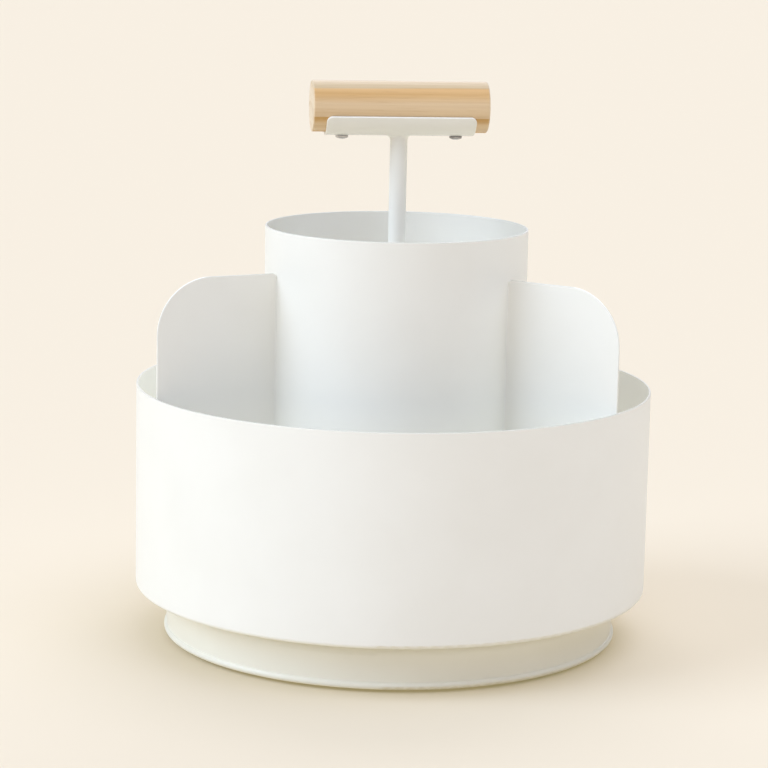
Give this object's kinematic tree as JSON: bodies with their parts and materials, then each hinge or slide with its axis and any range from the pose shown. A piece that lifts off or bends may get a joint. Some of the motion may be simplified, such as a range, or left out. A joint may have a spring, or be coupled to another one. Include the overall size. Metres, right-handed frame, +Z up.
{
  "type": "rotating craft organizer",
  "caption": "Round rotating organizer with a divided outer bin, a tall central cup and a wooden carrying handle, turning on a ball-bearing base.",
  "frame": {"origin": "on the table under the centre of the base, on the turning axis", "axes": "+Z up along the turning axis; -Y through the middle of the front compartment; +Y along the back divider"},
  "size_m": [0.254, 0.254, 0.275],
  "materials": {
    "tray_coat": "satin powder coat, white",
    "cup_coat": "satin powder coat, white",
    "divider_coat": "satin powder coat, white",
    "base_coat": "satin powder coat, white",
    "handle_coat": "satin powder coat, white",
    "wood": "pale hardwood, thin clear finish",
    "screw_steel": "nickel-plated steel",
    "bearing_steel": "zinc-plated sheet",
    "ball_steel": "polished bearing steel",
    "rubber": "matt black rubber",
    "cage_plastic": "natural nylon"
  },
  "bodies": {
    "base": {"base_pan": "base_coat", "rubber_feet": "rubber", "foot_screws": "screw_steel", "bearing_lower_plate": "bearing_steel", "base_rivets": "screw_steel"},
    "cage": {"bearing_balls": "ball_steel", "ball_cage": "cage_plastic"},
    "tray": {"bearing_upper_plate": "bearing_steel", "clinch_nuts": "screw_steel", "tray": "tray_coat", "tray_screws": "screw_steel", "cup_wall": "cup_coat", "cup_floor": "cup_coat", "divider_back": "divider_coat", "divider_left": "divider_coat", "divider_right": "divider_coat", "handle_saddle": "handle_coat", "handle_dowel": "wood", "handle_screws": "screw_steel", "handle_post": "handle_coat", "post_washer": "bearing_steel", "post_screw": "screw_steel"}
  },
  "joints": [
    {"name": "tray_spin", "type": "hinge", "parent": "base", "child": "tray", "pos_m": [0, 0, 0.0205], "axis": [0, 0, 1], "continuous": true},
    {"name": "cage_spin", "type": "hinge", "parent": "base", "child": "cage", "pos_m": [0, 0, 0.0205], "axis": [0, 0, 1], "continuous": true}
  ],
  "couplings": [
    {"joint": "cage_spin", "follows": "tray_spin", "ratio": 0.5}
  ]
}
